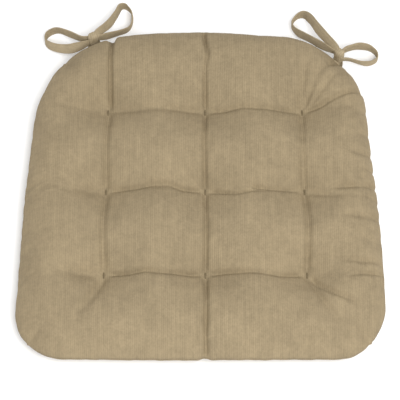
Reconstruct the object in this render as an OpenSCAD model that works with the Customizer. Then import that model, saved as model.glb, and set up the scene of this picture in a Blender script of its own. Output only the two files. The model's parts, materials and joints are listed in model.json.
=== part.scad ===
// Tufted chair pad: two corduroy panels sewn face to face into a knife-edge
// casing, filled with a foam slab between two layers of wadding, pulled down
// by nine thread tufts, with two pairs of tie straps at the back corners.
// Origin: centre of the footprint, on the surface the pad lies on.
// +X right, +Y towards the chair back, +Z up. Millimetres.

/* [Pad outline] */
// Width that the straight sides reach at the front edge
front_w = 420; // [400:2:440]
// Width that the straight sides reach at the back edge
back_w = 384; // [370:2:400]
// Front edge to back edge
depth = 416; // [400:2:430]
// Radius of the two front corners
front_r = 56; // [45:1:70]
// Radius of the two back corners
back_r = 100; // [80:1:110]
// How far the back edge bows out between its corners
back_bow = 6; // [0:1:10]

/* [Pad thickness] */
// Height of the seam above the surface the pad lies on
seam_h = 24; // [20:1:28]
// Height of the plump middle above the seam
crown_h = 36; // [30:1:40]
// How deep the underside would swell below the seam if nothing held it up
belly_h = 34; // [30:1:40]
// Thickness of the cover fabric
cover_t = 1.2; // [1:0.1:1.6]
// Share of the height inside the cover that the foam slab takes
foam_share = 0.72; // [0.5:0.01:0.85]
// Width of the seam allowance, sewn solid all round
allowance = 5; // [4:0.5:7]

/* [Tufts] */
// Distance between tuft columns
column_pitch = 114; // [100:1:120]
// Distance between tuft rows
row_pitch = 106; // [100:1:112]
// Sideways place of the middle column
columns_at = 5; // [0:1:6]
// Fore and aft place of the middle row
rows_at = -3; // [-6:1:6]
// Height of the cover's top at a tuft
tuft_top = 32; // [28:1:36]
// Height of the underside at a tuft
tuft_bottom = 14; // [10:1:16]
// Side of the square channel that a tuft thread runs through
channel_w = 2; // [1.8:0.1:2.4]
// Thickness of the doubled tuft thread
thread_t = 1.4; // [1:0.1:1.6]
// Length of the bar that the thread shows on each face
tuft_bar = 7; // [5:0.5:8]

/* [Ties] */
// Width of a tie strap
strap_w = 13; // [11:0.5:13]
// Thickness of a tie strap
strap_t = 1.8; // [1.4:0.1:1.8]
// Direction in which the left bow leaves the pad, turned outwards from straight back
left_tie_turn = 19; // [17:1:21]
// Direction in which the right bow leaves the pad, turned outwards from straight back
right_tie_turn = 42; // [40:1:44]

/* [Hidden] */

half_w = (front_w + back_w) / 4;
half_d = depth / 2;
tuft_xs = [for (i = [-1:1]) columns_at + i * column_pitch];
tuft_ys = [for (i = [-1:1]) rows_at + i * row_pitch];

// ---- Outline ------------------------------------------------------------

// Straight sides taper towards the back, and the back edge bows out.
function side_scale(y) = 1 + (back_w - front_w) / (front_w + back_w) * y / half_d;
function tapered(p) = [
    p.x * side_scale(p.y),
    p.y - (p.y > 0 ? back_bow * pow(p.x / half_w * p.y / half_d, 2) : 0)
];

// A point of the rectangle's edge, moved onto the round corner if it is near one.
function rounded(q) =
    let (r = q.y > 0 ? back_r : front_r,
         cx = half_w - r,
         cy = half_d - r,
         dx = abs(q.x) - cx,
         dy = abs(q.y) - cy,
         k = r / max(norm([dx, dy]), 0.001))
    dx > 0 && dy > 0
        ? [sign(q.x) * (cx + dx * k), sign(q.y) * (cy + dy * k)]
        : q;

// Maps a point of the plain rectangle into the outline. The middle, where the
// tufts are, stays put, and a band along the edge follows the outline in full.
still_zone = 0.62;
full_zone = 0.94;
function in_outline(p) =
    let (m = max(abs(p.x) / half_w, abs(p.y) / half_d),
         q = p / max(m, 0.001),
         k = min(1, max(0, (m - still_zone) / (full_zone - still_zone))),
         moved = p + (rounded(q) - q) * k)
    moved + (tapered(moved) - moved) * k;

// ---- Heights ------------------------------------------------------------

roll_power = 8;
roll_fullness = 0.75;
function roll(t) = pow(max(0, 1 - pow(abs(t), roll_power)), roll_fullness);
function swell(p) = roll(p.x / half_w) * roll(p.y / half_d);

// 0 at a tuft, 1 where its pull no longer reaches.
tuft_flat = 4.5;
top_reach = 62;
belly_reach = 34;
function tuft_pull(p, reach) = min([for (x = tuft_xs, y = tuft_ys)
    pow(min(1, max(0, norm(p - [x, y]) - tuft_flat * sqrt(2)) / reach), 0.7)]);

function top_rise(p) =
    let (full = crown_h * swell(p), low = min(full, tuft_top - seam_h))
    low + (full - low) * tuft_pull(p, top_reach);
// The underside lies flat wherever it would swell past the surface below it.
function belly_drop(p) =
    let (full = min(seam_h, belly_h * swell(p)), low = min(full, seam_h - tuft_bottom))
    low + (full - low) * tuft_pull(p, belly_reach);

// ---- Grid shared by every layer, so that neighbours meet face to face -----

tuft_lines = [-20, -tuft_flat, -channel_w / 2, channel_w / 2, tuft_flat, 20];
function near_tufts(at) = [for (c = at, o = tuft_lines) c + o];
pillow_line = 41;
function between(at) = [for (i = [0:1]) each [at[i] + pillow_line, at[i + 1] - pillow_line]];
function margin_lines(half, low, high) = [
    -half, allowance - half, 13 - half, 28 - half, (28 - half + low) / 2,
    half, half - allowance, half - 13, half - 28, (half - 28 + high) / 2
];
function sorted(v) = len(v) == 0 ? [] :
    let (m = v[floor(len(v) / 2)])
    concat(sorted([for (x = v) if (x < m) x]), [m], sorted([for (x = v) if (x > m) x]));

xs = sorted(concat(near_tufts(tuft_xs), between(tuft_xs),
    margin_lines(half_w, tuft_xs[0] - 20, tuft_xs[2] + 20)));
ys = sorted(concat(near_tufts(tuft_ys), between(tuft_ys),
    margin_lines(half_d, tuft_ys[0] - 20, tuft_ys[2] + 20)));
nx = len(xs);
ny = len(ys);
plan = [for (y = ys) [for (x = xs) in_outline([x, y])]];

function in_allowance(i, j) = i <= 1 || j <= 1 || i >= nx - 2 || j >= ny - 2;
function is_channel(i, j) =
    len([for (x = tuft_xs) if (abs(xs[i] + channel_w / 2 - x) < 0.01) x]) > 0
    && len([for (y = tuft_ys) if (abs(ys[j] + channel_w / 2 - y) < 0.01) y]) > 0;

// Height of each face over the grid, measured up from the seam plane.
top_outer = [for (y = ys) [for (x = xs) top_rise([x, y])]];
belly_outer = [for (y = ys) [for (x = xs) -belly_drop([x, y])]];
function inside(h, i, j) = in_allowance(i, j) ? 0 : h[j][i] - sign(h[j][i]) * cover_t;
top_inner = [for (j = [0:ny - 1]) [for (i = [0:nx - 1]) inside(top_outer, i, j)]];
belly_inner = [for (j = [0:ny - 1]) [for (i = [0:nx - 1]) inside(belly_outer, i, j)]];
foam_top = top_inner * foam_share;
foam_bottom = belly_inner * foam_share;

// Closed solid between two surfaces over the grid, from border line `edge` in.
// Both surfaces meet along that line, and a channel goes through at each tuft.
module layer(upper, lower, edge) {
    i0 = edge;
    i1 = nx - 1 - edge;
    j0 = edge;
    j1 = ny - 1 - edge;
    points = concat(
        [for (j = [0:ny - 1], i = [0:nx - 1]) [plan[j][i].x, plan[j][i].y, seam_h + upper[j][i]]],
        [for (j = [0:ny - 1], i = [0:nx - 1]) [plan[j][i].x, plan[j][i].y, seam_h + lower[j][i]]]
    );
    function on_border(i, j) = i == i0 || i == i1 || j == j0 || j == j1;
    function top(i, j) = j * nx + i;
    function low(i, j) = on_border(i, j) ? top(i, j) : nx * ny + j * nx + i;
    cells = [for (j = [j0:j1 - 1], i = [i0:i1 - 1]) [i, j]];
    solid_cells = [for (c = cells) if (!is_channel(c.x, c.y)) c];
    // Each cell's quad is cut along the diagonal that points at the pad's middle.
    function turned(c) = (c.x < nx / 2) == (c.y < ny / 2) ? 0 : 1;
    function halves(q, k) = [[q[k], q[k + 1], q[k + 2]], [q[k], q[k + 2], q[(k + 3) % 4]]];
    upper_faces = [for (c = solid_cells) each halves([top(c.x, c.y), top(c.x, c.y + 1),
        top(c.x + 1, c.y + 1), top(c.x + 1, c.y)], turned(c))];
    lower_faces = [for (c = solid_cells) each halves([low(c.x, c.y), low(c.x + 1, c.y),
        low(c.x + 1, c.y + 1), low(c.x, c.y + 1)], turned(c))];
    channel_faces = [for (c = cells) if (is_channel(c.x, c.y))
        let (ring = [[c.x, c.y], [c.x + 1, c.y], [c.x + 1, c.y + 1], [c.x, c.y + 1]])
        for (k = [0:3]) let (a = ring[k], b = ring[(k + 1) % 4])
            [low(a.x, a.y), low(b.x, b.y), top(b.x, b.y), top(a.x, a.y)]];
    polyhedron(points, concat(upper_faces, lower_faces, channel_faces));
}

module top_cover() {
    color("#a59374") layer(top_outer, top_inner, 0);
}

module bottom_cover() {
    color("#9c8b6d") layer(belly_inner, belly_outer, 0);
}

module top_wadding() {
    color("#f2f0ea") layer(top_inner, foam_top, 1);
}

module foam_core() {
    color("#e8dfae") layer(foam_top, foam_bottom, 1);
}

module bottom_wadding() {
    color("#f2f0ea") layer(foam_bottom, belly_inner, 1);
}

// ---- Threads ------------------------------------------------------------

// Runs round midway across the seam allowance.
seam_thread_w = 0.8;
module edge_seam_thread() {
    function midway(j, i) = (plan[j][i]
        + plan[max(1, min(ny - 2, j))][max(1, min(nx - 2, i))]) / 2;
    border = concat(
        [for (i = [0:nx - 2]) midway(0, i)],
        [for (j = [0:ny - 2]) midway(j, nx - 1)],
        [for (i = [nx - 1:-1:1]) midway(ny - 1, i)],
        [for (j = [ny - 1:-1:1]) midway(j, 0)]
    );
    n = len(border);
    h = seam_thread_w / 2;
    section = [[-h, -h], [h, -h], [h, h], [-h, h]];
    points = [for (p = border, s = section)
        let (out = p / norm(p)) [p.x + out.x * s.x, p.y + out.y * s.x, seam_h + s.y]];
    faces = [for (k = [0:n - 1], s = [0:3])
        let (a = k * 4, b = ((k + 1) % n) * 4, t = (s + 1) % 4)
        [a + s, a + t, b + t, b + s]];
    color("#8f7f62") polyhedron(points, faces);
}

// Small straight stitches over the back edge, where the casing was sewn shut.
closing_pitch = 9;
closing_count = 16;
stitch_w = 1;
stitch_l = 3;
module closing_stitches() {
    color("#8f7f62")
    for (k = [0:closing_count - 1]) {
        x = (k - (closing_count - 1) / 2) * closing_pitch;
        edge = tapered([x, half_d]);
        translate([x - stitch_w / 2, edge.y - stitch_l, seam_h - stitch_w / 2])
            cube([stitch_w, stitch_l, stitch_w]);
    }
}

// A doubled thread through all the layers, ending in a bar on each face.
module tuft_thread(column, row) {
    x = tuft_xs[column];
    y = tuft_ys[row];
    color("#6f6049")
    translate([x, y, 0]) {
        translate([-thread_t / 2, -tuft_bar / 2, tuft_top]) cube([thread_t, tuft_bar, thread_t]);
        translate([-thread_t / 2, -thread_t / 2, tuft_bottom])
            cube([thread_t, thread_t, tuft_top - tuft_bottom]);
        translate([-thread_t / 2, -tuft_bar / 2, tuft_bottom - thread_t])
            cube([thread_t, tuft_bar, thread_t]);
    }
}

// ---- Ties ---------------------------------------------------------------

// A bow's own frame has its origin on the seam: first along the edge towards
// the pad's side, second straight out from the edge, third up from the surface.
function edge_point(side, turn) =
    let (p = tapered([half_w - back_r + back_r * sin(turn), half_d - back_r + back_r * cos(turn)]))
    [side * p.x, p.y];
function along(side, turn) = [side * cos(turn), -sin(turn)];
function outward(side, turn) = [side * sin(turn), cos(turn)];
function placed(side, turn, v) =
    let (q = along(side, turn) * v.x + outward(side, turn) * v.y) [q.x, q.y, v.z];
function from_edge(side, turn, p) =
    let (e = edge_point(side, turn)) placed(side, turn, p) + [e.x, e.y, 0];

// Each route is a list of [place, width direction], chosen by hand.
flat = [1, 0, 0];
upright = [0, 0, 1];
left_outer_route = [
    [[0, 2.8, 22.4], flat], [[0.5, 4.4, 25.5], [1, 0, 0.3]], [[5, 5, 27.5], [0.3, 0.1, 0.9]],
    [[12, 5, 27], [0, 0.3, 0.95]], [[20, 6, 24.5], [0, 0.45, 0.9]], [[30, 9, 20.5], [0, 0.5, 0.9]],
    [[40, 16.5, 15.5], [0, 0.5, 0.9]], [[48.5, 26, 11], [0, 0.35, 0.95]], [[52.5, 36, 8], [0, 0.1, 1]],
    [[47.5, 45, 8], upright], [[35, 44, 13], upright], [[23, 30, 19], upright], [[12, 15, 25], upright],
    [[4.5, 10, 29], upright], [[-1.5, 9.5, 27], [0.6, 0, 0.6]], [[-3, 8.2, 19], flat],
    [[-3, 5.8, 12], flat], [[-3, 4.8, 3], flat]
];
left_inner_route = [
    [[0, 2, 25.2], flat], [[0, 2.6, 29], flat], [[-1, 4.5, 33.5], [0.9, 0.2, 0.3]],
    [[-5, 8, 36.5], [0.4, 0.5, 0.75]], [[-10, 11.5, 36], [0.12, 0.42, 0.9]],
    [[-17, 16, 33], [0.02, 0.4, 0.92]], [[-27, 24, 28], [0, 0.4, 0.92]],
    [[-38, 37, 21], [0.05, 0.35, 0.93]], [[-47, 49, 14.5], [0.1, 0.1, 0.97]],
    [[-55, 51, 10], [0, -0.15, 1]], [[-59.5, 42, 8], [0.05, -0.15, 0.97]],
    [[-56, 29, 8], [0.1, -0.2, 0.95]], [[-48, 19, 10.5], [0.1, -0.25, 0.95]],
    [[-35, 13.5, 17], [0, -0.15, 1]], [[-21, 8.5, 25], upright], [[-9, 6.5, 30], upright],
    [[-1.5, 6.5, 28.5], [0.5, 0, 0.7]], [[1.5, 5, 21], flat], [[2, 3.2, 12], flat], [[2, 2.6, 3], flat]
];
right_outer_route = [
    [[0, 2.8, 22.4], flat], [[0.5, 4.4, 25.5], [1, 0, 0.3]], [[4.5, 5, 27.5], [0.5, 0.2, 0.9]],
    [[8, 9.5, 26.5], [0.3, -0.1, 0.95]], [[13, 16, 22], [0.35, -0.1, 0.9]],
    [[20.5, 24, 15.5], [0.35, -0.1, 0.9]], [[27.5, 34, 9.5], [0.15, 0, 1]], [[29.5, 45, 7.8], upright],
    [[23, 51, 8], upright], [[13, 49.5, 10.5], upright], [[4.5, 39, 18], upright],
    [[0.5, 27, 23.5], upright], [[-1, 18, 27.5], upright], [[-1, 11.5, 29], [0.3, 0, 1]],
    [[-1, 10, 24], [0.9, 0, 0.3]], [[-1.5, 7.8, 17], flat], [[-2, 5.6, 10], flat], [[-2, 4.8, 3], flat]
];
right_inner_route = [
    [[0, 2, 25.2], flat], [[0, 2.6, 29], flat], [[-1, 4.5, 33.5], [0.9, 0.2, 0.3]],
    [[-5, 7.5, 36.5], [0.3, 0.5, 0.78]], [[-11, 9.5, 36.5], [-0.05, 0.55, 0.82]],
    [[-24, 13, 34], [-0.1, 0.56, 0.82]], [[-44, 20, 28], [-0.1, 0.56, 0.82]],
    [[-63, 29, 20], [-0.05, 0.4, 0.9]], [[-76, 31.5, 13], [0, 0.1, 1]], [[-82, 25, 9], [0, 0, 1]],
    [[-79.5, 14, 8.5], upright], [[-66, 6, 15], [-0.2, 0.05, 1]], [[-48, 4, 23.5], [-0.39, 0.14, 0.91]],
    [[-30, 3.6, 28.5], [-0.39, 0.14, 0.91]], [[-17, 4.8, 30.5], [-0.2, 0.1, 0.95]], [[-7, 6.5, 31], upright],
    [[-0.5, 6.5, 28.5], [0.5, 0, 0.7]], [[2, 5, 21], flat], [[2, 3.2, 12], flat], [[2, 2.6, 3], flat]
];

// A smooth curve through the points of a route, three steps to a span.
steps = 3;
function spline(a, b, c, d, t) = 0.5 * (2 * b + (c - a) * t
    + (2 * a - 5 * b + 4 * c - d) * t * t + (3 * b - a - 3 * c + d) * t * t * t);
function smooth(route, part) =
    let (n = len(route))
    concat(
        [for (i = [0:n - 2], s = [0:steps - 1]) spline(route[max(i - 1, 0)][part], route[i][part],
            route[i + 1][part], route[min(i + 2, n - 1)][part], s / steps)],
        [route[n - 1][part]]);
function unit(v) = v / norm(v);

module strap(route, side, turn) {
    path = [for (p = smooth(route, 0)) from_edge(side, turn, p)];
    wide = [for (v = smooth(route, 1)) placed(side, turn, v)];
    n = len(path);
    rings = [for (i = [0:n - 1])
        let (t = unit(path[min(i + 1, n - 1)] - path[max(i - 1, 0)]),
             w = unit(wide[i] - t * (wide[i] * t)) * strap_w / 2,
             u = unit(cross(t, w)) * strap_t / 2)
        [path[i] - w - u, path[i] + w - u, path[i] + w + u, path[i] - w + u]];
    sides = [for (i = [0:n - 2], k = [0:3])
        let (a = i * 4 + k, b = i * 4 + (k + 1) % 4)
        each [[a, a + 4, b + 4], [a, b + 4, b]]];
    last = (n - 1) * 4;
    ends = [[0, 1, 2, 3], [last + 3, last + 2, last + 1, last]];
    color("#b6a586") polyhedron([for (r = rings) each r], concat(sides, ends));
}

// The tied crossing: a band wrapped round both straps, seen from the side as a
// rectangle with cut corners, and as wide along the edge as a gathered strap.
knot_size = [12, 10, 15];
knot_centre = [0, 6.6, 33];
knot_cut = 2.5;
module knot(side, turn) {
    y = knot_size.y / 2;
    z = knot_size.z / 2;
    c = knot_cut;
    e = edge_point(side, turn);
    color("#b6a586")
    translate([e.x, e.y, knot_centre.z])
        rotate([0, 0, -side * turn])
            translate([-knot_size.x / 2, knot_centre.y, 0])
                rotate([90, 0, 90])
                    linear_extrude(knot_size.x)
                        polygon([[c - y, -z], [y - c, -z], [y, c - z], [y, z - c],
                                 [y - c, z], [c - y, z], [-y, z - c], [-y, c - z]]);
}

// The ends of both straps, one on the other, caught in the seam allowance.
sewn_depth = 4.5;
sewn_out = 0.6;
module sewn_ends(side, turn) {
    e = edge_point(side, turn);
    color("#b6a586")
    for (level = [-strap_t, 0])
        translate([e.x, e.y, seam_h + level])
            rotate([0, 0, -side * turn])
                translate([-strap_w / 2, -sewn_depth, 0])
                    cube([strap_w, sewn_depth + sewn_out, strap_t]);
}

module left_tie_sewn_ends() { sewn_ends(-1, left_tie_turn); }
module right_tie_sewn_ends() { sewn_ends(1, right_tie_turn); }
module left_tie_knot() { knot(-1, left_tie_turn); }
module right_tie_knot() { knot(1, right_tie_turn); }
module left_tie_outer_strap() { strap(left_outer_route, -1, left_tie_turn); }
module left_tie_inner_strap() { strap(left_inner_route, -1, left_tie_turn); }
module right_tie_outer_strap() { strap(right_outer_route, 1, right_tie_turn); }
module right_tie_inner_strap() { strap(right_inner_route, 1, right_tie_turn); }

top_cover();
bottom_cover();
top_wadding();
foam_core();
bottom_wadding();
edge_seam_thread();
closing_stitches();
tuft_thread(0, 0);  // tuft_front_left
tuft_thread(1, 0);  // tuft_front_middle
tuft_thread(2, 0);  // tuft_front_right
tuft_thread(0, 1);  // tuft_centre_left
tuft_thread(1, 1);  // tuft_centre_middle
tuft_thread(2, 1);  // tuft_centre_right
tuft_thread(0, 2);  // tuft_back_left
tuft_thread(1, 2);  // tuft_back_middle
tuft_thread(2, 2);  // tuft_back_right
left_tie_sewn_ends();
right_tie_sewn_ends();
left_tie_knot();
left_tie_outer_strap();
left_tie_inner_strap();
right_tie_knot();
right_tie_outer_strap();
right_tie_inner_strap();
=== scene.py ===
# Tufted chair pad in tan fine-wale corduroy: a knife-edge casing filled with a
# foam slab between two layers of wadding, nine thread tufts, and a pair of tie
# straps knotted into a bow at each back corner. Metres, +Y towards the chair
# back, standing on z = 0.
import json
import math

import bmesh
import bpy
import numpy as np
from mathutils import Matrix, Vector


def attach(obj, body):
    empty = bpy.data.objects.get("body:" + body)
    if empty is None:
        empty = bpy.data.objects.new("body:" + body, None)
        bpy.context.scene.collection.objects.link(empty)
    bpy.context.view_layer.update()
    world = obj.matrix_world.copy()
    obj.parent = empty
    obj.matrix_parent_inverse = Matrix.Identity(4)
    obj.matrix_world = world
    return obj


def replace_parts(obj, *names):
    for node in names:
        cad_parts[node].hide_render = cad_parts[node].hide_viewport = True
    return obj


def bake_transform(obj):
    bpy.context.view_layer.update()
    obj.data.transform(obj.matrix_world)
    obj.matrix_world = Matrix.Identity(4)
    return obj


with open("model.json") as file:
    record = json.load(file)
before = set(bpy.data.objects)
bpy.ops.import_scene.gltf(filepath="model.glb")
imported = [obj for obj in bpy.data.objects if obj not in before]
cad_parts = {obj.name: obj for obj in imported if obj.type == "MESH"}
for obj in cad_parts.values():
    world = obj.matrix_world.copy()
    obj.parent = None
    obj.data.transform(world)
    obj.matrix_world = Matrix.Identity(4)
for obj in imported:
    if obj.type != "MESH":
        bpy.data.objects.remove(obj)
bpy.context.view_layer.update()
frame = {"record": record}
MM = 0.001


# ---- Camera -----------------------------------------------------------------
# A long lens looks down on the pad from in front of its front edge, and the
# ties lie at the far corners.
camera_rise = math.radians(62)
camera_distance = 2.086
camera_aim = Vector((-0.001, -0.010, 0.025))
camera_back = Vector((0, -math.cos(camera_rise), math.sin(camera_rise)))
bpy.ops.object.camera_add(location=camera_aim + camera_back * camera_distance,
                          rotation=(math.pi / 2 - camera_rise, 0, 0))
camera = bpy.context.object
camera.data.sensor_width = 36
camera.data.lens = 163.3
camera.data.clip_end = 20
bpy.context.scene.camera = camera


# ---- Tie straps -------------------------------------------------------------
# Strips of the cover fabric, folded to half an inch wide with the raw edges
# turned in and stitched shut along one edge. Two leave the seam together at
# each back corner and are tied in a bow, with their short tails behind it.
strap_w = 13 * MM
strap_t = 1.8 * MM
steps = 6

# Each route is a list of (place, width direction) in the bow's own frame, in
# millimetres: along the edge towards the pad's side, straight out, and up.
flat = (1, 0, 0)
upright = (0, 0, 1)
left_outer_route = [
    ((0, 2.8, 22.4), flat), ((0.5, 4.4, 25.5), (1, 0, 0.3)), ((5, 5, 27.5), (0.3, 0.1, 0.9)),
    ((12, 5, 27), (0, 0.3, 0.95)), ((20, 6, 24.5), (0, 0.45, 0.9)), ((30, 9, 20.5), (0, 0.5, 0.9)),
    ((40, 16.5, 15.5), (0, 0.5, 0.9)), ((48.5, 26, 11), (0, 0.35, 0.95)), ((52.5, 36, 8), (0, 0.1, 1)),
    ((47.5, 45, 8), upright), ((35, 44, 13), upright), ((23, 30, 19), upright), ((12, 15, 25), upright),
    ((4.5, 10, 29), upright), ((-1.5, 9.5, 27), (0.6, 0, 0.6)), ((-3, 8.2, 19), flat),
    ((-3, 5.8, 12), flat), ((-3, 4.8, 3), flat),
]
left_inner_route = [
    ((0, 2, 25.2), flat), ((0, 2.6, 29), flat), ((-1, 4.5, 33.5), (0.9, 0.2, 0.3)),
    ((-5, 8, 36.5), (0.4, 0.5, 0.75)), ((-10, 11.5, 36), (0.12, 0.42, 0.9)),
    ((-17, 16, 33), (0.02, 0.4, 0.92)), ((-27, 24, 28), (0, 0.4, 0.92)),
    ((-38, 37, 21), (0.05, 0.35, 0.93)), ((-47, 49, 14.5), (0.1, 0.1, 0.97)),
    ((-55, 51, 10), (0, -0.15, 1)), ((-59.5, 42, 8), (0.05, -0.15, 0.97)),
    ((-56, 29, 8), (0.1, -0.2, 0.95)), ((-48, 19, 10.5), (0.1, -0.25, 0.95)),
    ((-35, 13.5, 17), (0, -0.15, 1)), ((-21, 8.5, 25), upright), ((-9, 6.5, 30), upright),
    ((-1.5, 6.5, 28.5), (0.5, 0, 0.7)), ((1.5, 5, 21), flat), ((2, 3.2, 12), flat), ((2, 2.6, 3), flat),
]
right_outer_route = [
    ((0, 2.8, 22.4), flat), ((0.5, 4.4, 25.5), (1, 0, 0.3)), ((4.5, 5, 27.5), (0.5, 0.2, 0.9)),
    ((8, 9.5, 26.5), (0.3, -0.1, 0.95)), ((13, 16, 22), (0.35, -0.1, 0.9)),
    ((20.5, 24, 15.5), (0.35, -0.1, 0.9)), ((27.5, 34, 9.5), (0.15, 0, 1)), ((29.5, 45, 7.8), upright),
    ((23, 51, 8), upright), ((13, 49.5, 10.5), upright), ((4.5, 39, 18), upright),
    ((0.5, 27, 23.5), upright), ((-1, 18, 27.5), upright), ((-1, 11.5, 29), (0.3, 0, 1)),
    ((-1, 10, 24), (0.9, 0, 0.3)), ((-1.5, 7.8, 17), flat), ((-2, 5.6, 10), flat), ((-2, 4.8, 3), flat),
]
right_inner_route = [
    ((0, 2, 25.2), flat), ((0, 2.6, 29), flat), ((-1, 4.5, 33.5), (0.9, 0.2, 0.3)),
    ((-5, 7.5, 36.5), (0.3, 0.5, 0.78)), ((-11, 9.5, 36.5), (-0.05, 0.55, 0.82)),
    ((-24, 13, 34), (-0.1, 0.56, 0.82)), ((-44, 20, 28), (-0.1, 0.56, 0.82)),
    ((-63, 29, 20), (-0.05, 0.4, 0.9)), ((-76, 31.5, 13), (0, 0.1, 1)), ((-82, 25, 9), (0, 0, 1)),
    ((-79.5, 14, 8.5), upright), ((-66, 6, 15), (-0.2, 0.05, 1)), ((-48, 4, 23.5), (-0.39, 0.14, 0.91)),
    ((-30, 3.6, 28.5), (-0.39, 0.14, 0.91)), ((-17, 4.8, 30.5), (-0.2, 0.1, 0.95)), ((-7, 6.5, 31), upright),
    ((-0.5, 6.5, 28.5), (0.5, 0, 0.7)), ((2, 5, 21), flat), ((2, 3.2, 12), flat), ((2, 2.6, 3), flat),
]

mounts = {m["name"]: m for m in frame["record"]["mounts"]}


class Bow:
    """The corner that a bow is sewn to, and the frame that its routes are in."""

    def __init__(self, name, side):
        mount = mounts[name + "_tie"]
        self.body = name + "_bow"
        self.exit = Vector(mount["pos_m"])
        self.out = Vector(mount["axis"]).normalized()
        self.along = Vector((self.out.y, -self.out.x, 0)) * side

    def turned(self, v):
        return self.along * v[0] + self.out * v[1] + Vector((0, 0, v[2]))

    def placed(self, v):
        return Vector((self.exit.x, self.exit.y, 0)) + self.turned(v) * MM


left_bow = Bow("left", -1)
right_bow = Bow("right", 1)


def smooth(points):
    """A smooth curve through the points, as many steps to each span."""
    p = [points[0]] + list(points) + [points[-1]]
    curve = []
    for k in range(1, len(p) - 2):
        a, b, c, d = p[k - 1:k + 3]
        for t in (s / steps for s in range(steps)):
            curve.append(0.5 * (2 * b + (c - a) * t + (2 * a - 5 * b + 4 * c - d) * t * t
                                + (3 * b - a - 3 * c + d) * t * t * t))
    return curve + [points[-1]]


def corduroy(name, pile, groove_shade, wale, streak, nap_size):
    """Fine ribs of cut pile along V, with painted shade darkening the grooves between them.

    The colours are the pile's and the grooves' painted shade, and the lengths are metres."""
    material = bpy.data.materials.new(name)
    material.use_nodes = True
    nodes, links = material.node_tree.nodes, material.node_tree.links
    shader = nodes["Principled BSDF"]
    shader.inputs["Roughness"].default_value = 0.92
    shader.inputs["Specular IOR Level"].default_value = 0.18
    shader.inputs["Sheen Weight"].default_value = 0.22
    shader.inputs["Sheen Roughness"].default_value = 0.55
    shader.inputs["Sheen Tint"].default_value = (*pile, 1)

    def node(kind, **settings):
        made = nodes.new("ShaderNode" + kind)
        for key, value in settings.items():
            setattr(made, key, value)
        return made

    def math_node(operation, a, b=None):
        made = node("Math", operation=operation)
        for socket, value in zip(made.inputs, (a, b)):
            if isinstance(value, (int, float)):
                socket.default_value = value
            elif value is not None:
                links.new(value, socket)
        return made.outputs[0]

    def noise_node(vector, scale, detail, roughness=0.5):
        made = node("TexNoise")
        made.inputs["Scale"].default_value = scale
        made.inputs["Detail"].default_value = detail
        made.inputs["Roughness"].default_value = roughness
        links.new(vector, made.inputs["Vector"])
        return made.outputs["Fac"]

    uv = node("UVMap", uv_map="cut").outputs["UV"]
    across = node("SeparateXYZ")
    links.new(uv, across.inputs[0])
    # The ribs wander a little from side to side as the cloth is woven.
    wander = math_node("MULTIPLY", noise_node(uv, 9, 2), wale * 1.6)
    rib = math_node("MULTIPLY", math_node("ADD", across.outputs["X"], wander), math.pi / wale)
    ridge = math_node("POWER", math_node("ABSOLUTE", math_node("SINE", rib)), 0.6)

    along = node("Mapping")
    along.inputs["Scale"].default_value = (1 / streak, 14, 1)
    links.new(uv, along.inputs["Vector"])
    streaks = noise_node(along.outputs["Vector"], 1, 2, 0.6)
    nap = noise_node(uv, 1 / nap_size, 3, 0.55)
    brushed = noise_node(uv, 120, 3, 0.6)
    fleck = noise_node(uv, 420, 4, 0.7)

    def mixed(factor, a, b, blend="MIX"):
        made = node("Mix", data_type="RGBA", blend_type=blend)
        for socket, value in ((made.inputs["Factor"], factor), (made.inputs[6], a), (made.inputs[7], b)):
            if isinstance(value, tuple):
                socket.default_value = (*value, 1)
            elif isinstance(value, (int, float)):
                socket.default_value = value
            else:
                links.new(value, socket)
        return made.outputs[2]

    def shade(source, low, high):
        """Grey that goes from low to high over the middle of a noise."""
        made = node("MapRange")
        made.inputs["From Min"].default_value = 0.3
        made.inputs["From Max"].default_value = 0.7
        made.inputs["To Min"].default_value = low
        made.inputs["To Max"].default_value = high
        links.new(source, made.inputs["Value"])
        return made.outputs["Result"]

    # The grooves between the ribs take the darker colour, which is painted shade.
    colour = mixed(ridge, groove_shade, pile)
    shades = (streaks, 0.94, 1.06), (nap, 0.92, 1.08), (brushed, 0.92, 1.08), (fleck, 0.90, 1.10)
    for source, low, high in shades:
        colour = mixed(1.0, colour, shade(source, low, high), "MULTIPLY")
    links.new(colour, shader.inputs["Base Color"])

    height = math_node("ADD", math_node("MULTIPLY", ridge, 0.8), math_node("MULTIPLY", fleck, 0.35))
    bump = node("Bump")
    bump.inputs["Strength"].default_value = 0.55
    bump.inputs["Distance"].default_value = wale * 0.28
    links.new(height, bump.inputs["Height"])
    links.new(bump.outputs["Normal"], shader.inputs["Normal"])
    return material


# The groove colour is painted shade between the ribs.
tie_corduroy = corduroy("tie_corduroy", pile=(0.345, 0.279, 0.180), groove_shade=(0.280, 0.224, 0.141),
                        wale=1.8 * MM, streak=2.2 * MM, nap_size=0.03)

# Half of the folded strip's section, from its closed fold to its stitched edge:
# place across the width and half thickness, both as shares.
strap_half = [(-1.0, 0.35), (-0.95, 0.75), (-0.8, 0.95), (-0.4, 1.0), (0.0, 1.0), (0.4, 0.98),
              (0.6, 0.95), (0.70, 0.35), (0.80, 0.92), (0.94, 0.8), (1.0, 0.35)]
strap_section = strap_half + [(w, -h) for w, h in reversed(strap_half)]
knot_at = (0, 6.6, 33)
gather_reach = 13 * MM
gather_narrow, gather_thick = 0.38, 0.6
ripple_h, ripple_pitch = 0.28 * MM, 5.5 * MM


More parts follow.
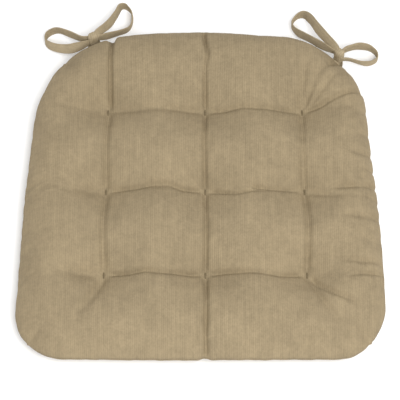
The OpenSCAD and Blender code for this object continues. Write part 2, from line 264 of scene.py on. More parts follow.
def tie_strap(bow, node, route, phase):
    """One strap swept along its route, gathered where the knot grips it."""
    name = node.replace("strap", "tape")
    line = smooth([bow.placed(place) for place, _ in route])
    wide = smooth([bow.turned(v) for _, v in route])
    grip = bow.placed(knot_at)
    shape = bmesh.new()
    uv = shape.loops.layers.uv.new("cut")
    rings, lengths, run = [], [], 0
    for k, here in enumerate(line):
        way = (line[min(k + 1, len(line) - 1)] - line[max(k - 1, 0)]).normalized()
        w = (wide[k] - way * wide[k].dot(way)).normalized()
        u = way.cross(w)
        run += (here - line[max(k - 1, 0)]).length
        near = math.exp(-((here - grip).length / gather_reach) ** 2)
        half_width = strap_w / 2 * (1 - gather_narrow * near)
        half_thick = strap_t / 2 * (1 + gather_thick * near)
        ring = []
        for a, h in strap_section:
            ripple = ripple_h * math.sin(run / ripple_pitch + phase + 1.7 * a)
            ring.append(shape.verts.new(here + w * (a * half_width) + u * (h * half_thick + ripple)))
        rings.append(ring)
        lengths.append(run)
    count = len(strap_section)
    for k in range(len(rings) - 1):
        for s in range(count):
            t = (s + 1) % count
            face = shape.faces.new((rings[k][s], rings[k][t], rings[k + 1][t], rings[k + 1][s]))
            face.smooth = True
            for loop, (j, at) in zip(face.loops, ((s, k), (s + 1, k), (s + 1, k + 1), (s, k + 1))):
                a, h = strap_section[j % count]
                loop[uv].uv = (a * strap_w / 2 + (0.03 if h < 0 else 0), lengths[at] + phase)
    shape.faces.new(rings[0])
    shape.faces.new(reversed(rings[-1]))
    bmesh.ops.recalc_face_normals(shape, faces=shape.faces)
    mesh = bpy.data.meshes.new(name)
    shape.to_mesh(mesh)
    shape.free()
    strap = bpy.data.objects.new(name, mesh)
    bpy.context.collection.objects.link(strap)
    finish_with(strap, "SUBSURF", levels=1, render_levels=1)
    strap.data.materials.append(tie_corduroy)
    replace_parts(strap, node)
    bow.placed((0, 2.2, 30))
    bow.placed((0, 6, 30))
    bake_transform(strap)
    return strap, line


def choose(piece):
    bpy.ops.object.select_all(action="DESELECT")
    piece.select_set(True)
    bpy.context.view_layer.objects.active = piece


def finish_with(piece, kind, **settings):
    """Adds one modifier to the piece and applies it."""
    choose(piece)
    modifier = piece.modifiers.new(kind.title(), kind)
    for key, value in settings.items():
        setattr(modifier, key, value)
    bpy.ops.object.modifier_apply(modifier=modifier.name)


left_outer = tie_strap(left_bow, "left_tie_outer_strap", left_outer_route, 0.3)
left_inner = tie_strap(left_bow, "left_tie_inner_strap", left_inner_route, 1.1)
right_outer = tie_strap(right_bow, "right_tie_outer_strap", right_outer_route, 2.0)
right_inner = tie_strap(right_bow, "right_tie_inner_strap", right_inner_route, 2.9)


# ---- Knots ------------------------------------------------------------------
# Where the two straps cross, one is drawn round the other in a tight turn: a
# gathered bundle with a band of folded strap over it, creased on the slant.
knot_half = (6.2, 5.4, 7.7)
knot_girth = 42
band_edge = 0.62


def knot(bow, node, lean):
    name = node.replace("tie_knot", "bow_knot")
    bpy.ops.object.select_all(action="DESELECT")
    bpy.ops.mesh.primitive_uv_sphere_add(segments=48, ring_count=32, radius=1)
    wrap = bpy.context.object
    wrap.name = wrap.data.name = name
    bpy.ops.object.mode_set(mode="EDIT")
    bpy.ops.mesh.select_all(action="SELECT")
    # The poles go to the sides, where the loops come out.
    bpy.ops.transform.rotate(value=math.pi / 2, orient_axis="Y", center_override=(0, 0, 0))
    bpy.ops.object.mode_set(mode="OBJECT")
    for vertex in wrap.data.vertices:
        a, o, up = vertex.co
        turn = math.atan2(up, o)
        round_at = max(math.hypot(o, up), 1e-6)
        # A bundle with square shoulders and a raised band round its middle.
        girth = (1 - abs(a) ** 5) ** 0.5 if abs(a) < 1 else 0
        slant = a + lean * 0.22 * math.sin(turn)
        band = 1 / (1 + math.exp((abs(slant) - band_edge) * 26))
        folds = 0.035 * math.sin(7 * slant + 2.2 * math.sin(turn + lean)) * girth
        gathers = 0.05 * math.sin(9 * turn) * (1 - band)
        size = girth * (0.80 + 0.20 * band + folds + gathers)
        square = 1 / max(abs(o / round_at) ** 3 + abs(up / round_at) ** 3, 1e-6) ** (1 / 3)
        place = (a * knot_half[0], o / round_at * size * square * knot_half[1],
                 up / round_at * size * square * knot_half[2])
        vertex.co = bow.placed([p + q for p, q in zip(place, knot_at)])
    bpy.ops.object.mode_set(mode="EDIT")
    bpy.ops.mesh.select_all(action="SELECT")
    bpy.ops.mesh.normals_make_consistent(inside=False)
    bpy.ops.object.mode_set(mode="OBJECT")
    bpy.ops.object.shade_smooth()
    cut = wrap.data.uv_layers[0]
    cut.name = "cut"
    for loop in cut.data:
        # The band's ribs run round the knot.
        loop.uv = (loop.uv[1] * 2 * knot_half[0] * MM, loop.uv[0] * knot_girth * MM)
    wrap.data.materials.append(tie_corduroy)
    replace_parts(wrap, node)
    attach(wrap, bow.body)
    return wrap


left_knot = knot(left_bow, "left_tie_knot", 1)
right_knot = knot(right_bow, "right_tie_knot", -1)


# ---- Sewn ends --------------------------------------------------------------
# The straps' ends, one on the other, are caught between the panels and sewn
# into the seam with it. Only their last fold shows in the knife edge.
sewn_depth = 4.5
sewn_out = 0.6
sewn_z = 24
sewn_cut = (26, 20)


def sewn_ends(bow, node):
    name = node.replace("tie_sewn", "tape_sewn")
    bpy.ops.object.select_all(action="DESELECT")
    bpy.ops.mesh.primitive_cube_add(size=1)
    ends = bpy.context.object
    ends.name = ends.data.name = name
    bpy.ops.object.mode_set(mode="EDIT")
    bpy.ops.mesh.select_all(action="SELECT")
    bpy.ops.mesh.subdivide(number_cuts=5)
    bpy.ops.mesh.bevel(offset=0.02, segments=2)
    bpy.ops.object.mode_set(mode="OBJECT")
    for vertex in ends.data.vertices:
        x, y, z = vertex.co
        # Two thicknesses, pressed together where the seam's thread runs.
        pressed = 1 - 0.35 * math.exp(-((y + 0.1) / 0.18) ** 2)
        parted = 0.12 * math.copysign(1, z) * math.exp(-(z / 0.16) ** 2) if abs(z) < 0.3 else 0
        place = (x * strap_w / MM, (y - 0.5) * sewn_depth + (y + 0.5) * sewn_out,
                 sewn_z + (z + parted) * 2 * strap_t / MM * pressed)
        vertex.co = bow.placed(place)
    bpy.ops.object.mode_set(mode="EDIT")
    bpy.ops.mesh.select_all(action="SELECT")
    bpy.ops.mesh.normals_make_consistent(inside=False)
    bpy.ops.object.mode_set(mode="OBJECT")
    bpy.ops.object.shade_smooth()
    cut = ends.data.uv_layers[0]
    cut.name = "cut"
    for loop in cut.data:
        loop.uv = (loop.uv[0] * sewn_cut[0] * MM, loop.uv[1] * sewn_cut[1] * MM)
    ends.data.materials.append(tie_corduroy)
    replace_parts(ends, node)
    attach(ends, "root")


sewn_ends(left_bow, "left_tie_sewn_ends")
sewn_ends(right_bow, "right_tie_sewn_ends")


# ---- Casing -----------------------------------------------------------------
# Two panels cut on the straight grain, sewn face to face all round and turned.
# The filling swells them, and the nine tufts and the seam hold them down.
front_w, back_w, depth = 420, 384, 416
front_r, back_r = 56, 100
back_bow = 6
seam_h = 24
crown_h, belly_h = 33, 34
tuft_top, tuft_bottom = 32, 14
column_pitch, row_pitch = 114, 106
tuft_xs = [5 + i * column_pitch for i in (-1, 0, 1)]
tuft_ys = [-3 + i * row_pitch for i in (-1, 0, 1)]
tuft_flat = 4.5
half_w = (front_w + back_w) / 4
half_d = depth / 2
cell, close_cell = 4.6, 2.4
close_band = 12
corner_from, corner_full = 0.62, 0.94


def taper(y):
    """The sides draw in a little towards the back."""
    return 1 + (back_w - front_w) / (front_w + back_w) * y / half_d


def in_outline(p):
    """Rectangle points moved into the outline. The middle stays where it is."""
    ratio = np.maximum(np.abs(p[..., 0]) / half_w, np.abs(p[..., 1]) / half_d)
    q = p / np.maximum(ratio, 0.001)[..., None]
    k = np.clip((ratio - corner_from) / (corner_full - corner_from), 0, 1)[..., None]
    r = np.where(q[..., 1] > 0, back_r, front_r)
    corner = np.stack([half_w - r, half_d - r], -1)
    over = np.abs(q) - corner
    onto = np.sign(q) * (corner + over * (r / np.maximum(np.linalg.norm(over, axis=-1), 0.001))[..., None])
    q_round = np.where(((over > 0).all(-1))[..., None], onto, q)
    p_round = p + (q_round - q) * k
    x, y = p_round[..., 0], p_round[..., 1]
    bowed = y - np.where(y > 0, back_bow * (x / half_w * y / half_d) ** 2, 0)
    return p_round + (np.stack([x * taper(y), bowed], -1) - p_round) * k


def grid_lines(edge, tufts):
    """Lines from edge to edge, one on every tuft, and close together beside the tufts."""
    stops = [-edge] + [t + step for t in tufts for step in (-close_band, 0, close_band)] + [edge]
    spans = [np.linspace(a, b, round((b - a) / (close_cell if k % 3 else cell)), endpoint=False)
             for k, (a, b) in enumerate(zip(stops, stops[1:]))]
    return np.concatenate(spans + [stops[-1:]])


xs = grid_lines(half_w, tuft_xs)
ys = grid_lines(half_d, tuft_ys)
cut_plan = np.stack(np.meshgrid(xs, ys), -1)
plan = in_outline(cut_plan)
rows, columns = plan.shape[:2]

# The filling pushes the seam out of true here and there, and a hard-sewn corner
# holds it in: (place, push, how far the push reaches along x and y).
pushes = [
    ((20, 208), (0, 5.5), (125, 45)), ((-22, 212), (0, 3.6), (85, 40)), ((0, -208), (0, -1.5), (150, 45)),
    ((-205, -20), (-2.5, 0), (45, 95)), ((207, -40), (3, 0), (45, 85)),
    ((-185, 135), (3.5, -1), (45, 28)), ((205, -180), (-4, 1.5), (35, 28)),
    ((-107, 205), (0, -3), (5, 14)), ((5, -208), (0, 2), (5, 12)),
]
for (px, py), push, (reach_x, reach_y) in pushes:
    near = np.exp(-((plan[..., 0] - px) / reach_x) ** 4 - ((plan[..., 1] - py) / reach_y) ** 2)
    plan = plan + near[..., None] * push


def roll(t):
    """Fullness across the pad: 0 at the seam, and rounder towards the back."""
    return np.maximum(0, 1 - np.abs(t) ** np.where(t > 0.5, 11, 8)) ** 0.7


def tuft_pull(p, reach):
    """0 at a tuft, and nearly 1 where its pull no longer reaches."""
    away = [np.maximum(0, np.hypot(p[..., 0] - x, p[..., 1] - y) - tuft_flat)
            for x in tuft_xs for y in tuft_ys]
    return np.prod([1 - np.exp(-a / reach) for a in away], 0)


top_reach, belly_reach = 19, 16
swell = roll(cut_plan[..., 0] / half_w) * roll(cut_plan[..., 1] / half_d)
top_full = crown_h * swell
top_low = np.minimum(top_full, tuft_top - seam_h)
top_rest = seam_h + top_low + (top_full - top_low) * tuft_pull(cut_plan, top_reach)
belly_full = np.minimum(seam_h, belly_h * swell)
belly_low = np.minimum(belly_full, seam_h - tuft_bottom)
belly_rest = seam_h - belly_low - (belly_full - belly_low) * tuft_pull(cut_plan, belly_reach)

gather_pitch, gather_phase = 23, 0.4
pitch_drift, depth_drift = 33, 47
gather_draw = 3.4


def gathered(p):
    """Small pleats round the edge, most of them down the right side and along the front."""
    around = np.arctan2(p[..., 1], p[..., 0])
    arc = half_w * around
    right_side = np.exp(-((around - 0.1) / 0.75) ** 2)
    front = np.exp(-((around + 1.6) / 0.7) ** 2)
    most = 0.35 + 0.75 * right_side + 0.15 * front
    uneven = 1.6 * np.sin(arc / pitch_drift + gather_phase)
    wave = np.sin(2 * np.pi * arc / gather_pitch + uneven + gather_phase)
    return most * np.maximum(0, wave) ** 3 * (0.6 + 0.4 * np.sin(arc / depth_drift + 2 * gather_phase))


# The gathers draw the seam in a little, and it wanders up and down in front of the ties.
border = np.zeros((rows, columns), bool)
border[[0, -1], :] = True
border[:, [0, -1]] = True
turn = np.arctan2(plan[..., 1], plan[..., 0])
gathers = 0.6 - gather_draw * gathered(plan) + 0.25 * np.sin(91 * turn + 1.3)
outward = plan / np.maximum(np.linalg.norm(plan, axis=-1), 1)[..., None]
edge_plan = plan + np.where(border, gathers, 0)[..., None] * outward

start = np.array([np.concatenate([edge_plan, top_rest[..., None]], -1),
                  np.concatenate([edge_plan, belly_rest[..., None]], -1)])
level_from = 195
start[:, border, 2] = (seam_h + 0.8 * np.sin(37 * turn + 0.7) * (plan[..., 1] < level_from))[border]


def index_of(level, j, i):
    """Both panels share the vertices of the seam."""
    return j * columns + i if level == 0 or border[j, i] else rows * columns + j * columns + i


faces, cuts = [], []
for level in (0, 1):
    for j in range(rows - 1):
        for i in range(columns - 1):
            ring = [(j, i), (j, i + 1), (j + 1, i + 1), (j + 1, i)]
            ring = ring if level == 0 else ring[::-1]
            faces.append([index_of(level, *c) for c in ring])
            cuts += [plan[c] * MM for c in ring]
casing_mesh = bpy.data.meshes.new("casing")
casing_mesh.from_pydata((start.reshape(-1, 3) * MM).tolist(), [], faces)
casing_mesh.uv_layers.new(name="cut").data.foreach_set("uv", np.array(cuts, np.float32).ravel())
upper = casing_mesh.attributes.new("upper", "BOOLEAN", "FACE")
upper.data.foreach_set("value", np.arange(len(faces)) < len(faces) // 2)
casing = bpy.data.objects.new("casing", casing_mesh)
bpy.context.collection.objects.link(casing)

# Vertices of the lower panel's border are spares that no face uses.
held = np.zeros((2, rows, columns), bool)
held[:, border] = True
for x in tuft_xs:
    for y in tuft_ys:
        held[:, np.argmin(abs(ys - y)), np.argmin(abs(xs - x))] = True

swelling_frames = 24
stitched = casing.vertex_groups.new(name="stitched")
stitched.add([int(v) for v in np.flatnonzero(held)], 1.0, "REPLACE")
cloth = casing.modifiers.new("Cloth", "CLOTH")
cloth.settings.quality = 5
cloth.settings.mass = 0.25
cloth.settings.air_damping = 4
cloth.settings.tension_stiffness = 30
cloth.settings.compression_stiffness = 18
cloth.settings.shear_stiffness = 8
cloth.settings.bending_stiffness = 5
cloth.settings.use_pressure = True
cloth.settings.uniform_pressure_force = 2.5
cloth.settings.shrink_min = -0.010
cloth.settings.vertex_group_mass = "stitched"
cloth.settings.effector_weights.gravity = 0
cloth.point_cache.frame_end = swelling_frames
for f in range(1, swelling_frames + 1):
    bpy.context.scene.frame_set(f)
choose(casing)
bpy.ops.object.modifier_apply(modifier="Cloth")
bpy.context.scene.frame_set(1)


def coordinates(mesh):
    co = np.empty(len(mesh.vertices) * 3, np.float32)
    mesh.vertices.foreach_get("co", co)
    return co.reshape(-1, 3).astype(float)


# The filling lets no part of the cover stray far from where it is sewn to lie.
most_stray = 9 * MM
swollen = coordinates(casing.data)
rest = start.reshape(-1, 3) * MM
stray = swollen - rest
far = np.linalg.norm(stray, axis=1, keepdims=True)
swollen = rest + stray * (np.tanh(far / most_stray) * most_stray / np.maximum(far, 1e-9))
layers = swollen.reshape(2, rows, columns, 3)
layers[1][border] = layers[0][border]
casing.data.vertices.foreach_set("co", swollen.astype(np.float32).ravel())

choose(casing)
bpy.ops.object.mode_set(mode="EDIT")
bpy.ops.mesh.select_all(action="SELECT")
bpy.ops.mesh.delete_loose()
bpy.ops.object.mode_set(mode="OBJECT")
finish_with(casing, "SUBSURF", levels=1, render_levels=1)

# Creases that the tufts and the seam draw in the cover: (points, depth, half width),
# in millimetres. Short ones die away towards their end, and long ones ease midway.
short_crease = 75
creases = [
    ([(-105, 206), (-106, 187), (-107, 164), (-106, 103)], 9.0, 2.8),
    ([(-107, 100), (-109, 58), (-109, 25), (-108, -3)], 4.5, 3.4),
    ([(-108, -3), (-110, -45), (-110, -75), (-108, -109)], 5.0, 3.6),
    ([(-108, -109), (-120, -140), (-136, -166)], 6.5, 6.0),
    ([(4, 206), (5, 188), (8, 172), (5, 150), (5, 103)], 7.0, 2.4),
    ([(5, 103), (4, 50), (5, -3)], 6.5, 2.6),
    ([(5, -3), (6, -55), (5, -109)], 6.5, 2.6),
    ([(5, -109), (6, -145), (5, -187), (6, -207)], 8.0, 2.6),
    ([(119, 103), (116, 45), (119, -3)], 4.5, 3.8),
    ([(119, -3), (122, -58), (119, -109)], 5.5, 3.4),
    ([(119, 103), (142, 108), (165, 119), (191, 131)], 8.0, 3.2),
    ([(120, 106), (138, 146), (158, 172)], 4.5, 4.5),
    ([(128, 108), (152, 138), (166, 156)], 3.6, 3.6),
    ([(118, 110), (122, 150), (134, 182)], 2.6, 4.5),
    ([(119, -109), (130, -124), (146, -137), (171, -150)], 8.5, 3.6),
    ([(121, -112), (134, -146), (150, -172)], 5.5, 4.0),
    ([(-107, -3), (-72, -4), (-55, 0), (-38, 1), (-20, -4), (5, -3)], 5.5, 3.0),
    ([(5, -3), (22, -6), (39, -11), (58, -9), (78, -8)], 6.5, 2.8),
    ([(62, -4), (80, -6), (96, -5), (119, -3)], 4.5, 2.8),
    ([(-107, -109), (-79, -111), (-62, -109), (-45, -112), (5, -109)], 6.5, 2.8),
    ([(5, -109), (24, -108), (44, -110), (88, -114), (119, -109)], 6.5, 2.8),
    ([(5, 103), (30, 101), (48, 104), (62, 101), (119, 101)], 4.5, 3.4),
    ([(-106, 103), (-80, 99), (-55, 98), (5, 103)], 3.2, 4.5),
    ([(119, -3), (146, -12), (172, -17)], 4.2, 4.5),
    ([(204, 1), (182, -3), (152, -2)], 5.0, 3.6),
    ([(206, -40), (182, -43), (156, -42)], 5.0, 4.2),
    ([(208, -96), (180, -99), (150, -95)], 5.2, 3.8),
    ([(208, -108), (190, -113), (168, -116)], 6.0, 3.2),
    ([(207, -70), (188, -72), (170, -68)], 3.0, 4.5),
    ([(202, 42), (184, 40), (166, 44)], 3.6, 4.5),
    ([(-108, -3), (-150, -8)], 3.6, 7.0),
    ([(-108, -109), (-160, -114)], 3.6, 7.0),
    ([(-203, -2), (-186, 4), (-168, 3)], 3.2, 4.0),
    ([(-206, -52), (-188, -60), (-172, -58)], 2.6, 4.5),
    ([(-106, 103), (-150, 128), (-165, 145)], 2.2, 10.0),
    ([(-106, 103), (-140, 100)], 2.2, 9.0),
]
column_valley, row_valley = 6.5, 12.0
valley_reach = 14
past_columns, past_rows = 45, 55


def crease_depth(p, widen=1.0):
    """How far each point of the plan is drawn down by the creases."""
    drawn = np.zeros(len(p))
    for points, deep, width in creases:
        way = np.array(points, float)
        spans = np.diff(way, axis=0)
        lengths = np.linalg.norm(spans, axis=1)
        whole = lengths.sum()
        nearest = np.full(len(p), np.inf)
        at = np.zeros(len(p))
        for k, span in enumerate(spans):
            t = np.clip(((p - way[k]) @ span) / lengths[k] ** 2, 0, 1)
            away = np.linalg.norm(p - way[k] - t[:, None] * span, axis=1)
            closer = away < nearest
            nearest = np.where(closer, away, nearest)
            at = np.where(closer, (lengths[:k].sum() + t * lengths[k]) / whole, at)
        fade = 1 - 0.75 * at ** 2 if whole < short_crease else 1 - 0.45 * np.sin(np.pi * at) ** 2
        drawn = np.maximum(drawn, deep * fade * np.exp(-(nearest / (width * widen)) ** 2))
    # Valleys run from tuft to tuft, deepest at their middle, and the tufts stay put.
    to_column = np.min([abs(p[:, 0] - x) for x in tuft_xs], 0)
    to_row = np.min([abs(p[:, 1] - y) for y in tuft_ys], 0)
    to_tuft = np.hypot(to_column, to_row)
    past_x = np.maximum(0, abs(p[:, 0] - tuft_xs[1]) - column_pitch)
    past_y = np.maximum(0, abs(p[:, 1] - tuft_ys[1]) - row_pitch)
    across, along = np.exp(-(past_x / past_columns) ** 2), np.exp(-(past_y / past_rows) ** 2)
    valley = (column_valley * np.exp(-np.hypot(to_column, 3) / valley_reach) * along
              + row_valley * np.exp(-np.hypot(to_row, 3) / valley_reach) * across)
    return drawn * (1 - np.exp(-(to_tuft / 10) ** 2)) + valley * (1 - np.exp(-(to_tuft / 18) ** 2))


slot_half_w, slot_half_l, slot_depth = 2.4, 7, 3.4


def pinch(p):
    """The slot that each tuft's thread pulls in the cover, along its bar."""
    slots = [np.exp(-((p[:, 0] - x) / slot_half_w) ** 2 - ((p[:, 1] - y) / slot_half_l) ** 2)
             for x in tuft_xs for y in tuft_ys]
    return slot_depth * np.max(slots, 0)


pleat_depth, pleat_run, pleat_start = 4.0, 17, 3


def pleats(p):
    """Folds that run in from the gathered seam and die away on the roll of the edge."""
    r = np.where(p[:, 1] > 0, back_r, front_r)
    half = np.stack([half_w * taper(p[:, 1]), np.full(len(p), half_d)], -1)
    over = np.abs(p) - half + r[:, None]
    from_edge = r - np.linalg.norm(np.maximum(over, 0), axis=1) - np.minimum(over.max(1), 0)
    into = np.clip(from_edge, 0, None)
    return pleat_depth * gathered(p) * np.exp(-(into / pleat_run) ** 2) * (1 - np.exp(-into / pleat_start))


full_crease_h = 12
co = coordinates(casing.data)
over_seam = np.clip((co[:, 2] / MM - seam_h) / full_crease_h, 0, 1)
at = co[:, :2] / MM
co[:, 2] -= (crease_depth(at) + pinch(at) + pleats(at)) * over_seam * MM
# The underside lies flat on the seat wherever it is pressed against it.
floor_gap = 0.15 * MM
co[:, 2] = np.maximum(co[:, 2], floor_gap + 0.25 * MM * (1 - np.exp(-np.maximum(co[:, 2], 0) / MM)))
casing.data.vertices.foreach_set("co", co.astype(np.float32).ravel())


# ---- Covers -----------------------------------------------------------------
# The casing's two panels, each one thickness of corduroy with its ribs running
# from front to back.
cover_t = 1.2 * MM
# The groove colour is painted shade between the ribs.
cover_corduroy = corduroy("cover_corduroy", pile=(0.264, 0.208, 0.127), groove_shade=(0.229, 0.178, 0.106),
                          wale=2.1 * MM, streak=2.6 * MM, nap_size=0.04)


def cover(name, is_upper):
    panel = casing.copy()
    panel.data = casing.data.copy()
    panel.name = panel.data.name = name
    bpy.context.collection.objects.link(panel)
    keep = np.empty(len(panel.data.polygons), bool)
    panel.data.attributes["upper"].data.foreach_get("value", keep)
    shape = bmesh.new()
    shape.from_mesh(panel.data)
    shape.faces.ensure_lookup_table()
    bmesh.ops.delete(shape, geom=[f for f, k in zip(shape.faces, keep) if k != is_upper], context="FACES")
    shape.to_mesh(panel.data)
    shape.free()
    finish_with(panel, "SOLIDIFY", thickness=cover_t, offset=-1)
    choose(panel)
    bpy.ops.object.shade_smooth()
    panel.data.materials.clear()
    panel.data.materials.append(cover_corduroy)
    return panel


top_cover = cover("chair_pad_top", True)
bottom_cover = cover("chair_pad_underside", False)
for panel, node in ((top_cover, "top_cover"), (bottom_cover, "bottom_cover")):
    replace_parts(panel, node)
    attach(panel, "root")
bpy.data.objects.remove(casing)


# ---- Filling ----------------------------------------------------------------
# A slab of pale foam between two layers of polyester wadding. The wadding lies
# next to the covers, and both follow the pad's pillows and tufts.
foam_share = 0.72
inside_share, inside_gap = 0.86, 2.5 * MM
softened = 1.8
to_border = np.abs(cut_plan / (half_w, half_d)).max(-1)
drawn_in = (1 - 0.038 * to_border ** 6)[..., None]


def bare_material(name, colour, pitted, scale, relief):
    """A dull stuffing: lofty fibre where it isn't pitted, and open cells where it is."""
    material = bpy.data.materials.new(name)
    material.use_nodes = True
    nodes, links = material.node_tree.nodes, material.node_tree.links
    shader = nodes["Principled BSDF"]
    shader.inputs["Roughness"].default_value = 1.0
    shader.inputs["Specular IOR Level"].default_value = 0.1
    place = nodes.new("ShaderNodeTexCoord").outputs["Object"]
    grain = nodes.new("ShaderNodeTexVoronoi" if pitted else "ShaderNodeTexNoise")
    grain.inputs["Scale"].default_value = scale
    links.new(place, grain.inputs["Vector"])
    level = grain.outputs["Distance" if pitted else "Fac"]
    mix = nodes.new("ShaderNodeMix")
    mix.data_type = "RGBA"
    mix.inputs[6].default_value = (*(0.72 * c for c in colour), 1)
    mix.inputs[7].default_value = (*colour, 1)
    links.new(level, mix.inputs["Factor"])
    links.new(mix.outputs[2], shader.inputs["Base Color"])
    bump = nodes.new("ShaderNodeBump")
    bump.inputs["Distance"].default_value = relief
    links.new(level, bump.inputs["Height"])
    links.new(bump.outputs["Normal"], shader.inputs["Normal"])
    return material


wadding_fibre = bare_material("wadding_fibre", (0.84, 0.83, 0.80), False, 260, 1.2 * MM)
foam_cells = bare_material("foam_cells", (0.80, 0.71, 0.44), True, 700, 0.6 * MM)


def height_inside(layer):
    """Signed height above the seam of the space under one cover, at each grid point."""
    seam = layers[0][border][:, 2].mean()
    plan_mm = layer[..., :2].reshape(-1, 2) / MM
    drawn = crease_depth(plan_mm, softened).reshape(rows, columns) * MM
    raw = layer[..., 2] - seam
    bare = np.abs(raw) * inside_share - inside_gap - (drawn if raw.mean() > 0 else 0)
    return np.sign(raw.mean()) * np.maximum(bare, 0.2 * MM), seam


over, seam_z = height_inside(layers[0])
under, _ = height_inside(layers[1])
fill_plan = layers.mean(0)[..., :2] * drawn_in


def fill_layer(name, upper, lower, material):
    """A closed solid between two heights over the grid, which meet all round."""
    points = []
    for height in (upper, lower):
        edge = np.where(border, 0, height) + seam_z
        points.append(np.concatenate([fill_plan, edge[..., None]], -1))
    mesh = bpy.data.meshes.new(name)
    mesh.from_pydata(np.array(points).reshape(-1, 3).tolist(), [], faces)
    layer = bpy.data.objects.new(name, mesh)
    bpy.context.collection.objects.link(layer)
    choose(layer)
    bpy.ops.object.mode_set(mode="EDIT")
    bpy.ops.mesh.select_all(action="SELECT")
    bpy.ops.mesh.delete_loose()
    bpy.ops.object.mode_set(mode="OBJECT")
    bpy.ops.object.shade_smooth()
    mesh.materials.append(material)
    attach(layer, "root")
    return layer


for fill_name, above, below, stuff, fill_slot in (
        ("top_wadding", over, over * foam_share, wadding_fibre, "wadding"),
        ("foam_core", over * foam_share, under * foam_share, foam_cells, "foam"),
        ("bottom_wadding", under * foam_share, under, wadding_fibre, "wadding")):
    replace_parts(fill_layer("pad_" + fill_name, above, below, stuff), fill_name)


# ---- Threads ----------------------------------------------------------------
# Polyester sewing thread: one line of it round the seam, sixteen whipped
# stitches that close the turning gap in the back edge, and heavier thread,
# doubled, through the whole pad at each tuft.
def thread_material(name, colour, twist):
    material = bpy.data.materials.new(name)
    material.use_nodes = True
    nodes, links = material.node_tree.nodes, material.node_tree.links
    shader = nodes["Principled BSDF"]
    shader.inputs["Roughness"].default_value = 0.85
    shader.inputs["Specular IOR Level"].default_value = 0.2
    lay = nodes.new("ShaderNodeTexWave")
    lay.bands_direction = "DIAGONAL"
    lay.inputs["Scale"].default_value = twist
    links.new(nodes.new("ShaderNodeTexCoord").outputs["Object"], lay.inputs["Vector"])
    mix = nodes.new("ShaderNodeMix")
    mix.data_type = "RGBA"
    mix.inputs[6].default_value = (*(0.6 * c for c in colour), 1)
    mix.inputs[7].default_value = (*colour, 1)
    links.new(lay.outputs["Fac"], mix.inputs["Factor"])
    links.new(mix.outputs[2], shader.inputs["Base Color"])
    bump = nodes.new("ShaderNodeBump")
    bump.inputs["Distance"].default_value = 0.15 * MM
    links.new(lay.outputs["Fac"], bump.inputs["Height"])
    links.new(bump.outputs["Normal"], shader.inputs["Normal"])
    return material


seam_cotton = thread_material("seam_thread_twist", (0.30, 0.24, 0.15), 900)
tuft_cord = thread_material("tuft_thread_twist", (0.20, 0.153, 0.086), 600)

# The seam's thread lies in the fold, a little way in from the edge.
seam_inset = 0.985
ring = [(0, i) for i in range(columns - 1)] + [(j, columns - 1) for j in range(rows - 1)]
ring += [(rows - 1, i) for i in range(columns - 1, 0, -1)] + [(j, 0) for j in range(rows - 1, 0, -1)]
bpy.ops.object.select_all(action="DESELECT")
line = bpy.data.curves.new("edge_seam_line", "CURVE")
line.dimensions = "3D"
run = line.splines.new("POLY")
run.points.add(len(ring) - 1)
for point, (j, i) in zip(run.points, ring):
    x, y, z = layers[0][j, i]
    point.co = (x * seam_inset, y * seam_inset, z, 1)
run.use_cyclic_u = True
line.bevel_depth = 0.4 * MM
line.bevel_resolution = 1
line.use_fill_caps = True
seam_thread = bpy.data.objects.new("seam_line", line)
bpy.context.collection.objects.link(seam_thread)
choose(seam_thread)
bpy.ops.object.convert(target="MESH")
seam_thread = bpy.context.object
seam_thread.data.materials.clear()
seam_thread.data.materials.append(seam_cotton)
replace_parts(seam_thread, "edge_seam_thread")
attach(seam_thread, "root")

surface = coordinates(top_cover.data) / MM


def half_ring(name, reach, thick, squash):
    """Half a turn of thread over an edge, both ends run into the cloth."""
    bpy.ops.object.select_all(action="DESELECT")
    bpy.ops.mesh.primitive_torus_add(major_radius=reach, minor_radius=thick,
                                     major_segments=24, minor_segments=8)
    made = bpy.context.object
    made.name = made.data.name = name
    bpy.ops.object.mode_set(mode="EDIT")
    bpy.ops.mesh.select_all(action="SELECT")
    bpy.ops.mesh.bisect(plane_co=(0, -0.3 * reach, 0), plane_no=(0, 1, 0), clear_inner=True, use_fill=True)
    bpy.ops.mesh.select_all(action="SELECT")
    bpy.ops.mesh.normals_make_consistent(inside=False)
    bpy.ops.object.mode_set(mode="OBJECT")
    bpy.ops.object.shade_smooth()
    for vertex in made.data.vertices:
        vertex.co.y *= squash
    return made


closing_pitch = 9
closing_count = 16
whip = half_ring("whip_stitch", 1.9, 0.4, 0.75)
stitches = []
for k in range(closing_count):
    x = (k - (closing_count - 1) / 2) * closing_pitch
    near = surface[(abs(surface[:, 0] - x) < 3) & (surface[:, 1] > 150)]
    edge = near[near[:, 1].argmax()]
    stitch = whip.copy()
    stitch.data = whip.data.copy()
    bpy.context.collection.objects.link(stitch)
    for vertex in stitch.data.vertices:
        a, o, t = vertex.co
        # The ring stands over the edge, and each stitch leans the same way.
        vertex.co = Vector((edge[0] + t + 0.35 * a, edge[1] - 0.9 + o, edge[2] + a)) * MM
    stitches.append(stitch)
bpy.data.objects.remove(whip)
bpy.ops.object.select_all(action="DESELECT")
for stitch in stitches:
    stitch.select_set(True)
bpy.context.view_layer.objects.active = stitches[0]
bpy.ops.object.join()
closing = bpy.context.object
closing.name = closing.data.name = "closing_whip_stitches"
closing.data.materials.append(seam_cotton)
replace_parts(closing, "closing_stitches")
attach(closing, "root")

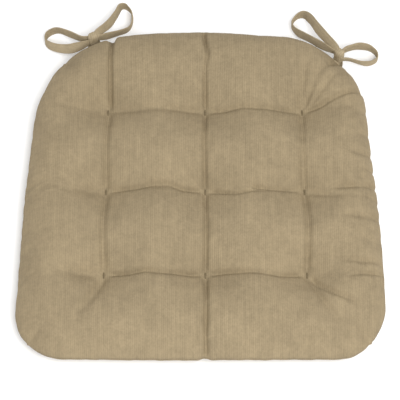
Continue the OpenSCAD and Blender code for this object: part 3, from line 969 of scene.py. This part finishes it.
# A tuft is a bar of two strands on each face, and the doubled thread that joins
# the bars through the pad.
tuft_bar = 7
strand_apart = 0.35
top_sink, low_sink = 0.6, 1.0
staple = half_ring("tuft_staple", tuft_bar / 2, 0.34, 0.35)
row_names = ("front", "centre", "back")
column_names = ("left", "middle", "right")
underside = coordinates(bottom_cover.data) / MM
for row_name, y in zip(row_names, tuft_ys):
    for column_name, x in zip(column_names, tuft_xs):
        near = surface[(abs(surface[:, 0] - x) < 1.6) & (abs(surface[:, 1] - y) < 3.6)]
        top_z = near[:, 2].max() - top_sink
        near = underside[np.hypot(underside[:, 0] - x, underside[:, 1] - y) < 4]
        low_z = near[:, 2].min() + low_sink
        parts = []
        for face_z, up in ((top_z, 1), (low_z, -1)):
            for aside in (-strand_apart, strand_apart):
                strand = staple.copy()
                strand.data = staple.data.copy()
                bpy.context.collection.objects.link(strand)
                for vertex in strand.data.vertices:
                    a, o, t = vertex.co
                    lean = aside * (1 - 0.35 * (a / tuft_bar * 2) ** 2)
                    vertex.co = Vector((x + up * t + lean, y + a, face_z + up * (o + 0.25))) * MM
                parts.append(strand)
        bpy.ops.object.select_all(action="DESELECT")
        bpy.ops.mesh.primitive_cylinder_add(vertices=12, radius=0.7 * MM, depth=(top_z - low_z) * MM,
                                            location=(x * MM, y * MM, (top_z + low_z) / 2 * MM))
        parts.append(bpy.context.object)
        bpy.ops.object.mode_set(mode="EDIT")
        bpy.ops.mesh.select_all(action="SELECT")
        bpy.ops.mesh.subdivide(number_cuts=4)
        bpy.ops.object.mode_set(mode="OBJECT")
        bpy.ops.object.transform_apply(location=True, rotation=True, scale=True)
        for part in parts:
            part.select_set(True)
        bpy.context.view_layer.objects.active = parts[0]
        bpy.ops.object.join()
        tuft = bpy.context.object
        tuft.name = tuft.data.name = f"thread_tuft_{row_name}_{column_name}"
        tuft.data.materials.clear()
        tuft.data.materials.append(tuft_cord)
        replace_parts(tuft, f"tuft_{row_name}_{column_name}")
        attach(tuft, "root")
bpy.data.objects.remove(staple)


# ---- Floor and light --------------------------------------------------------
# A plain white sweep under a large soft light, high in front and a little to the
# right, with an even white sky for the fill.
bpy.ops.mesh.primitive_plane_add(size=12, location=(0, 0, 0))
floor = bpy.context.object
floor.name = "floor"
white = bpy.data.materials.new("white_sweep")
white.use_nodes = True
white.node_tree.nodes["Principled BSDF"].inputs["Base Color"].default_value = (0.93, 0.93, 0.93, 1)
white.node_tree.nodes["Principled BSDF"].inputs["Roughness"].default_value = 0.9
floor.data.materials.append(white)

world = bpy.data.worlds.new("studio")
bpy.context.scene.world = world
world.use_nodes = True
world.node_tree.nodes["Background"].inputs["Color"].default_value = (1, 1, 1, 1)
world.node_tree.nodes["Background"].inputs["Strength"].default_value = 0.86


def softbox(name, place, size, power):
    light = bpy.data.lights.new(name, "AREA")
    light.shape = "DISK"
    light.size = size
    light.energy = power
    lamp = bpy.data.objects.new(name, light)
    lamp.location = place
    lamp.rotation_mode = "QUATERNION"
    lamp.rotation_quaternion = (-Vector(place)).to_track_quat("-Z", "Y")
    bpy.context.collection.objects.link(lamp)


softbox("key_light", (0.45, -1.15, 2.1), 1.3, 50)
bpy.context.scene.view_settings.view_transform = "Standard"
